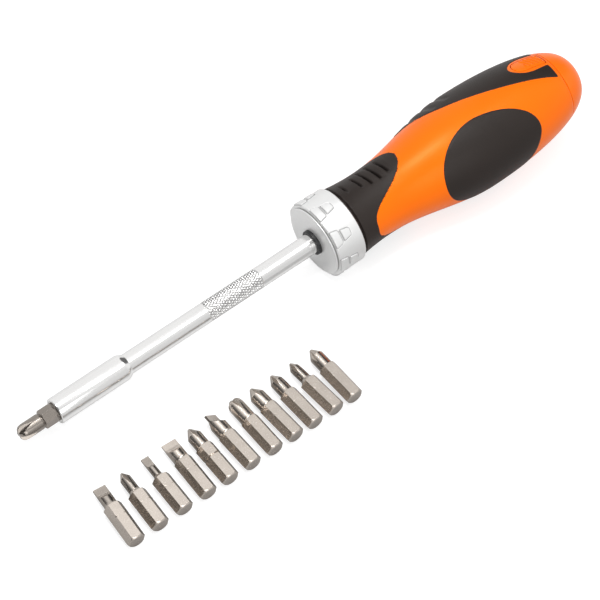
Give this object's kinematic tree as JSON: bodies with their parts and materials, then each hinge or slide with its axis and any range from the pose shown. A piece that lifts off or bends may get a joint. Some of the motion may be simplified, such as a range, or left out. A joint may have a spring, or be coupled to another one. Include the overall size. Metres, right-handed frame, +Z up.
{
  "type": "ratcheting screwdriver",
  "caption": "Ratcheting screwdriver with a soft-grip handle, selector ring, long shaft, bit holder and a store of loose hexagon bits beside it.",
  "frame": {"origin": "centre of the bit holder's mouth, on the driver's axis", "axes": "+X from the tip toward the butt along the floor, +Z up, -Y toward the row of loose bits"},
  "size_m": [0.2539, 0.0762, 0.0392],
  "materials": {
    "orange_plastic": "satin moulded orange",
    "rubber": "matte warm black overmould",
    "ring_metal": "satin silver",
    "chrome": "bright plated steel",
    "bit_steel": "satin warm grey tool steel",
    "inner_steel": "plain machined steel",
    "bronze": "sintered bronze",
    "black_plastic": "black moulded plastic",
    "spring_steel": "spring wire"
  },
  "bodies": {
    "handle": {"handle_core": "orange_plastic", "neck_grip": "rubber", "side_pad": "rubber", "under_pad": "rubber", "top_strip": "rubber", "ratchet_housing": "inner_steel", "nose_plate": "ring_metal", "front_bush": "black_plastic", "rear_bush": "bronze", "pawl_pins": "inner_steel", "thrust_washer": "inner_steel", "detent_ball": "inner_steel", "detent_spring": "spring_steel", "pawl_spring_forward": "spring_steel", "pawl_spring_reverse": "spring_steel", "button_spring": "spring_steel", "bit_01": "bit_steel", "bit_02": "bit_steel", "bit_03": "bit_steel", "bit_04": "bit_steel", "bit_05": "bit_steel", "bit_06": "bit_steel", "bit_07": "bit_steel", "bit_08": "bit_steel", "bit_09": "bit_steel", "bit_10": "bit_steel", "bit_11": "bit_steel"},
    "selector": {"selector_ring": "ring_metal"},
    "forward_pawl": {"pawl_forward": "inner_steel"},
    "reverse_pawl": {"pawl_reverse": "inner_steel"},
    "drive": {"drive_shaft": "chrome", "ratchet_wheel": "inner_steel", "retaining_ring": "spring_steel", "bit_holder": "chrome", "holder_magnet": "inner_steel"},
    "bit": {"inserted_bit": "bit_steel"},
    "store": {"bit_carrier": "black_plastic", "end_cap": "orange_plastic"},
    "button": {"release_button": "orange_plastic"}
  },
  "joints": [
    {"name": "selector_turn", "type": "hinge", "parent": "handle", "child": "selector", "pos_m": [0, 0, 0], "axis": [0.9983, 0, 0.0588], "range_deg": [-25, 25]},
    {"name": "drive_spin", "type": "hinge", "parent": "handle", "child": "drive", "pos_m": [0, 0, 0], "axis": [0.9983, 0, 0.0588], "continuous": true},
    {"name": "bit_pull", "type": "slide", "parent": "drive", "child": "bit", "axis": [-0.9983, 0, -0.0588], "range_m": [0, 0.022]},
    {"name": "forward_pawl_lift", "type": "hinge", "parent": "handle", "child": "forward_pawl", "pos_m": [0.12112, -0.00592, 0.01432], "axis": [-0.9983, 0, -0.0588], "range_deg": [0, 10], "stiffness_Nm_per_rad": 0.02, "deforming": ["pawl_spring_forward"]},
    {"name": "reverse_pawl_lift", "type": "hinge", "parent": "handle", "child": "reverse_pawl", "pos_m": [0.12112, 0.00592, 0.01432], "axis": [0.9983, 0, 0.0588], "range_deg": [0, 10], "stiffness_Nm_per_rad": 0.02, "deforming": ["pawl_spring_reverse"]},
    {"name": "store_slide", "type": "slide", "parent": "handle", "child": "store", "axis": [0.9983, 0, 0.0588], "range_m": [0, 0.056]},
    {"name": "button_press", "type": "slide", "parent": "handle", "child": "button", "axis": [0.0549, -0.3584, -0.932], "range_m": [0, 0.0008], "stiffness_N_per_m": 1500, "deforming": ["button_spring"]}
  ]
}
